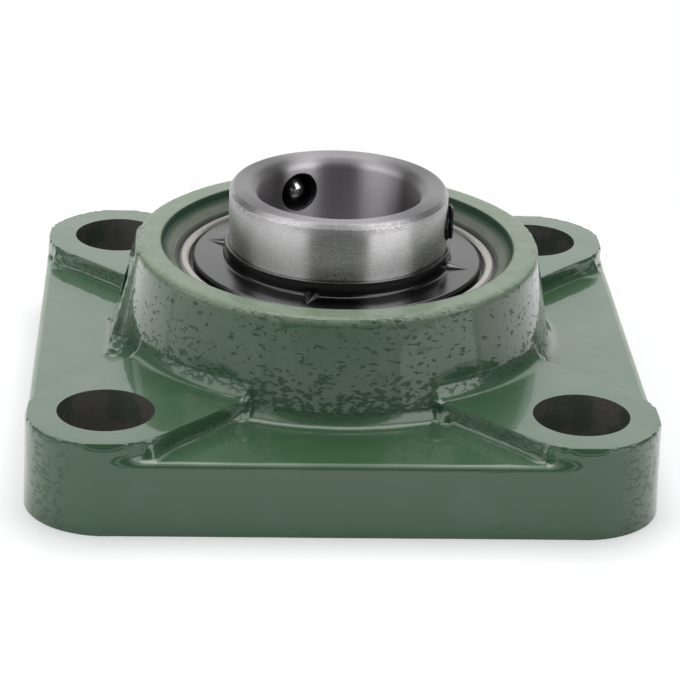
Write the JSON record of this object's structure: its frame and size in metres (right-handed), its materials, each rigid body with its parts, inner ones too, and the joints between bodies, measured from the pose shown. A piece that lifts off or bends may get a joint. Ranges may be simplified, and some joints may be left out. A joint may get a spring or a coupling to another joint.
{
  "type": "four-bolt flange bearing",
  "caption": "Square cast flange housing with a spherical seat, holding a self-aligning ball bearing insert that grips its shaft with set screws.",
  "frame": {"origin": "on the mounting face, at the centre of the square flange and on the bearing's axis", "axes": "+Z along the bearing's axis, away from the wall and towards the set screws; X and Y along the flange's sides, with the grease port at -X"},
  "size_m": [0.0944, 0.0944, 0.0368],
  "materials": {
    "casting": "glossy green enamel over cast iron",
    "ring_steel": "ground bearing steel",
    "seal_steel": "plain sheet steel",
    "seal_rubber": "matte moulded rubber",
    "slinger_steel": "dull sheet steel",
    "cage_steel": "pressed sheet steel",
    "ball_steel": "polished balls",
    "screw_steel": "black oxide"
  },
  "bodies": {
    "housing": {"housing": "casting"},
    "insert_outer": {"outer_ring": "ring_steel", "seal_plate_upper": "seal_steel", "seal_plate_lower": "seal_steel", "seal_lip_upper": "seal_rubber", "seal_lip_lower": "seal_rubber"},
    "insert_inner": {"inner_ring": "ring_steel", "slinger_upper": "slinger_steel", "slinger_lower": "slinger_steel"},
    "cage_and_balls": {"cage_upper": "cage_steel", "cage_lower": "cage_steel", "cage_rivets": "cage_steel", "ball_1": "ball_steel", "ball_2": "ball_steel", "ball_3": "ball_steel", "ball_4": "ball_steel", "ball_5": "ball_steel", "ball_6": "ball_steel", "ball_7": "ball_steel", "ball_8": "ball_steel", "ball_9": "ball_steel"},
    "screw_a": {"set_screw_a": "screw_steel"},
    "screw_b": {"set_screw_b": "screw_steel"}
  },
  "joints": [
    {"name": "align_tilt", "type": "hinge", "parent": "housing", "child": "insert_outer", "pos_m": [0, 0, 0.0165], "axis": [0, 1, 0], "range_deg": [-3, 3]},
    {"name": "inner_spin", "type": "hinge", "parent": "insert_outer", "child": "insert_inner", "pos_m": [0, 0, 0.0165], "axis": [0, 0, 1], "continuous": true},
    {"name": "cage_spin", "type": "hinge", "parent": "insert_outer", "child": "cage_and_balls", "pos_m": [0, 0, 0.0165], "axis": [0, 0, 1], "continuous": true},
    {"name": "screw_a_travel", "type": "slide", "parent": "insert_inner", "child": "screw_a", "axis": [0.9986, -0.0523, 0], "range_m": [-0.0017, 0.003]},
    {"name": "screw_b_travel", "type": "slide", "parent": "insert_inner", "child": "screw_b", "axis": [-0.454, 0.891, 0], "range_m": [-0.0017, 0.003]}
  ],
  "couplings": [
    {"joint": "cage_spin", "follows": "inner_spin", "ratio": 0.3982}
  ]
}
